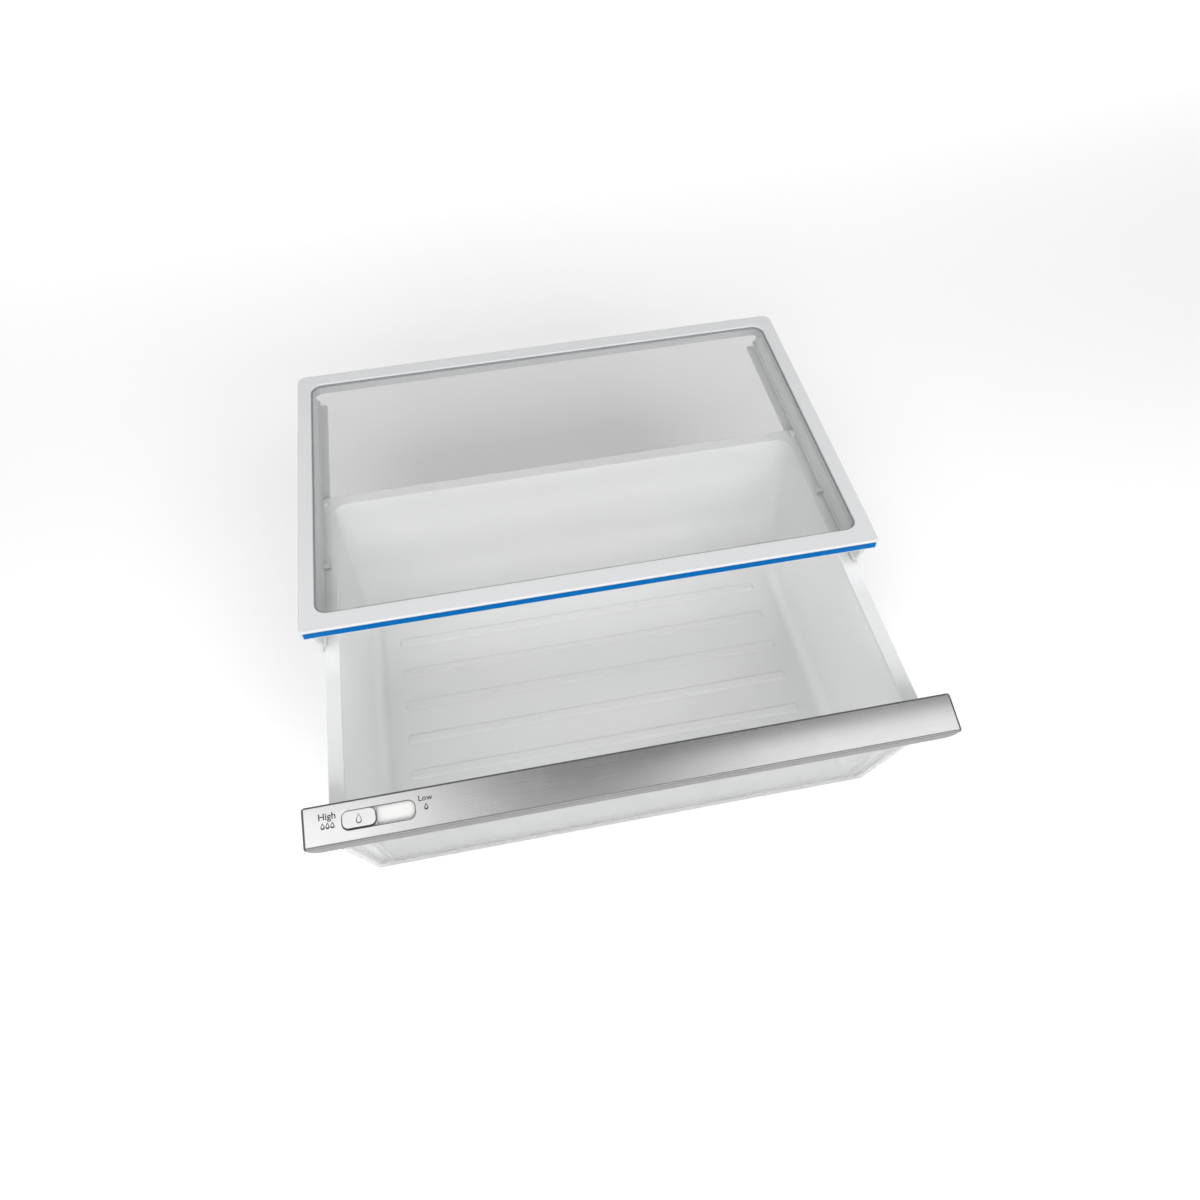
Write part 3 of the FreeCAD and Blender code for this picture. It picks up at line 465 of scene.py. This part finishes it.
# studio: pale floor, pale surround that darkens overhead, broad soft panels
studio = {"floorHalf": 6.0, "floorColour": "#fafafa", "gapAxis": (0.05, 0.06, 1),
          "surround": ((0.0, 0.58), (0.3, 0.48), (0.6, 0.43), (0.955, 0.42), (0.997, 0.235)), "samePlace": 0.001,
          "floorRoughness": 0.9}
floorMesh = bpy.data.meshes.new("studioFloor")
half = studio["floorHalf"]
floorMesh.from_pydata([(-half, -half, 0), (half, -half, 0), (half, half, 0), (-half, half, 0)], [], [(0, 1, 2, 3)])
floorPaint = newFinish("matteFloorPaint", Base_Color=linearFromHex(studio["floorColour"]),
                       Roughness=studio["floorRoughness"])[0]
floorMesh.materials.append(floorPaint)
studioFloor = bpy.data.objects.new("studioFloor", floorMesh)
bpy.context.scene.collection.objects.link(studioFloor)

world = bpy.data.worlds.new("studioSurround")
bpy.context.scene.world = world
world.use_nodes = True
world.node_tree.nodes.clear()
toward = addNode(world.node_tree, "ShaderNodeTexCoord").outputs["Generated"]
nearGap = addNode(world.node_tree, "ShaderNodeVectorMath", {"operation": "DOT_PRODUCT"},
                  {0: toward, 1: Vector(studio["gapAxis"]).normalized()})
level = addNode(world.node_tree, "ShaderNodeValToRGB", Fac=nearGap.outputs["Value"])
stops = level.color_ramp.elements
stops[0].position, stops[1].position = studio["surround"][0][0], studio["surround"][-1][0]
for position, bright in studio["surround"]:
    held = [stop for stop in stops if abs(stop.position - position) < studio["samePlace"]]
    stop = held[0] if held else stops.new(position)
    stop.color = (bright, bright, bright, 1)
glow = addNode(world.node_tree, "ShaderNodeBackground", Color=level.outputs[0])
addNode(world.node_tree, "ShaderNodeOutputWorld", Surface=glow.outputs[0])


def addPanel(name, place, pitch, lean, width, depth, radiance, spread=180, fade=0.0):  # faces down, then tips
    light = bpy.data.lights.new(name, "AREA")
    light.shape = "RECTANGLE"
    light.size = width
    light.size_y = depth
    light.energy = radiance * math.pi * width * depth
    light.spread = math.radians(spread)
    panel = bpy.data.objects.new(name, light)
    panel.location = place
    panel.rotation_euler = (math.radians(pitch), math.radians(lean), 0)
    panel.visible_camera = False
    panel.visible_glossy = fade > 0  # only panels that fade at their edges are mirrored, in steel or in glass
    panel.visible_transmission = fade > 0
    if fade:
        light.use_nodes = True
        tree = light.node_tree
        tree.nodes.clear()
        spot = addNode(tree, "ShaderNodeNewGeometry").outputs["Parametric"]
        strength = 1.0
        for share in addNode(tree, "ShaderNodeSeparateXYZ", Vector=spot).outputs[:2]:  # along, then across
            off = addNode(tree, "ShaderNodeMath", {"operation": "SUBTRACT"}, {0: share, 1: 0.5})
            away = addNode(tree, "ShaderNodeMath", {"operation": "ABSOLUTE"}, {0: off.outputs[0]})
            edge = addNode(tree, "ShaderNodeMapRange", {"interpolation_type": "SMOOTHSTEP"},
                           Value=away.outputs[0], From_Min=0.5, From_Max=0.5 - fade)
            strength = addNode(tree, "ShaderNodeMath", {"operation": "MULTIPLY"},
                               {0: edge.outputs[0], 1: strength}).outputs[0]
        shine = addNode(tree, "ShaderNodeEmission", Strength=strength)
        addNode(tree, "ShaderNodeOutputLight", Surface=shine.outputs[0])
    bpy.context.scene.collection.objects.link(panel)


addPanel("leftOverhead", (-0.967, -0.34, 1.7), pitch=0, lean=-10, width=1.8, depth=1.6, radiance=1.65, fade=0.2)
addPanel("rightOverhead", (1.036, -0.74, 1.8), pitch=0, lean=10, width=1.8, depth=1.6, radiance=1.3, fade=0.2)
addPanel("frontKey", (0.2, -2.4, 1.25), pitch=64, lean=0, width=2.4, depth=1.3, radiance=8.3)
addPanel("floorWash", (0, 3.3, 2.0), pitch=0, lean=0, width=8, depth=4.4, radiance=0.9, spread=60)

# camera at the photograph's angle
view = {"lensMm": 29.67, "sensorMm": 36, "nearest": 0.01, "place": (-0.0766, -0.4925, 0.7661), "turn": 9.43,
        "down": 51.54, "roll": -1.83}
camera = bpy.data.objects.new("camera", bpy.data.cameras.new("camera"))
camera.data.lens = view["lensMm"]
camera.data.sensor_width = view["sensorMm"]
camera.data.clip_start = view["nearest"]
camera.location = view["place"]
camera.rotation_euler = (Matrix.Rotation(-math.radians(view["turn"]), 3, "Z")
                         @ Matrix.Rotation(math.radians(90 - view["down"]), 3, "X")
                         @ Matrix.Rotation(math.radians(view["roll"]), 3, "Z")).to_euler()
bpy.context.scene.collection.objects.link(camera)
bpy.context.scene.camera = camera
bpy.context.scene.view_settings.view_transform = "Standard"
print("studio and camera done")
